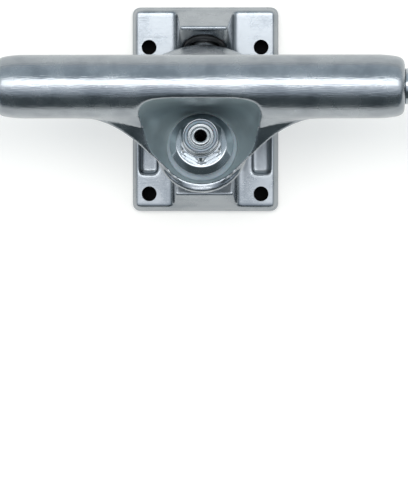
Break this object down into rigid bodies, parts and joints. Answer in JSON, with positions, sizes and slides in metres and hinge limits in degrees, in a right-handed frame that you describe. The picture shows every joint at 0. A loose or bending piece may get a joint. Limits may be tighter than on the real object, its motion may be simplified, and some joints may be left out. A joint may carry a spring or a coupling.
{
  "type": "skateboard truck",
  "caption": "Polished cast aluminium skateboard truck: baseplate, kingpin with bushings, steering hanger with pivot cup, and a steel axle with nuts and washers.",
  "frame": {"origin": "centre of the four deck bolts, on the face that lies against the deck", "axes": "+X along the axle, +Y along the board towards the pivot cup, +Z away from the deck towards the axle"},
  "size_m": [0.2094, 0.0754, 0.0662],
  "materials": {
    "polished_aluminium": "cast, ground and tumble polished",
    "baseplate_aluminium": "cast, satin on the pads",
    "zinc_plated_steel": "bright zinc plate",
    "kingpin_steel": "bright zinc plate",
    "axle_steel": "ground steel",
    "bushing_urethane": "cast urethane, satin",
    "pivot_cup_urethane": "moulded, satin",
    "nylon": "moulded nylon ring"
  },
  "bodies": {
    "base": {"baseplate": "baseplate_aluminium", "pivot_cup": "pivot_cup_urethane", "kingpin": "kingpin_steel", "lower_washer": "zinc_plated_steel", "lower_bushing": "bushing_urethane", "upper_bushing": "bushing_urethane"},
    "hanger": {"hanger": "polished_aluminium", "axle": "axle_steel"},
    "upper_washer": {"upper_washer": "zinc_plated_steel"},
    "kingpin_nut": {"kingpin_nut": "zinc_plated_steel", "kingpin_nut_insert": "nylon"},
    "left_inner_washer": {"left_inner_speed_washer": "zinc_plated_steel"},
    "left_outer_washer": {"left_outer_speed_washer": "zinc_plated_steel"},
    "left_nut": {"left_axle_nut": "zinc_plated_steel", "left_axle_nut_insert": "nylon"},
    "right_inner_washer": {"right_inner_speed_washer": "zinc_plated_steel"},
    "right_outer_washer": {"right_outer_speed_washer": "zinc_plated_steel"},
    "right_nut": {"right_axle_nut": "zinc_plated_steel", "right_axle_nut_insert": "nylon"}
  },
  "joints": [
    {"name": "hanger_steer", "type": "hinge", "parent": "base", "child": "hanger", "pos_m": [0, -0.012, 0.031], "axis": [0, 0.9063, -0.4226], "range_deg": [-12, 12], "stiffness_Nm_per_rad": 40, "deforming": ["lower_bushing", "upper_bushing"]},
    {"name": "upper_washer_lift", "type": "slide", "parent": "base", "child": "upper_washer", "axis": [0, 0.2756, 0.9613], "range_m": [0, 0.0022]},
    {"name": "kingpin_nut_turn", "type": "hinge", "parent": "upper_washer", "child": "kingpin_nut", "pos_m": [0, -0.012, 0.031], "axis": [0, 0.2756, 0.9613], "range_deg": [0, 720]},
    {"name": "left_inner_washer_slide", "type": "slide", "parent": "hanger", "child": "left_inner_washer", "axis": [-1, 0, 0], "range_m": [0, 0.0214]},
    {"name": "left_outer_washer_slide", "type": "slide", "parent": "hanger", "child": "left_outer_washer", "axis": [-1, 0, 0], "range_m": [0, 0.031]},
    {"name": "left_axle_nut_turn", "type": "hinge", "parent": "left_outer_washer", "child": "left_nut", "pos_m": [-0.1, 0.0115, 0.055], "axis": [-1, 0, 0], "range_deg": [0, 10440]},
    {"name": "right_inner_washer_slide", "type": "slide", "parent": "hanger", "child": "right_inner_washer", "axis": [1, 0, 0], "range_m": [0, 0.0214]},
    {"name": "right_outer_washer_slide", "type": "slide", "parent": "hanger", "child": "right_outer_washer", "axis": [1, 0, 0], "range_m": [0, 0.031]},
    {"name": "right_axle_nut_turn", "type": "hinge", "parent": "right_outer_washer", "child": "right_nut", "pos_m": [0.1, 0.0115, 0.055], "axis": [1, 0, 0], "range_deg": [0, 10440]}
  ],
  "couplings": [
    {"joint": "upper_washer_lift", "follows": "kingpin_nut_turn", "m_per_rad": 0.00016844},
    {"joint": "left_outer_washer_slide", "follows": "left_axle_nut_turn", "m_per_rad": 0.00016844},
    {"joint": "right_outer_washer_slide", "follows": "right_axle_nut_turn", "m_per_rad": 0.00016844}
  ]
}
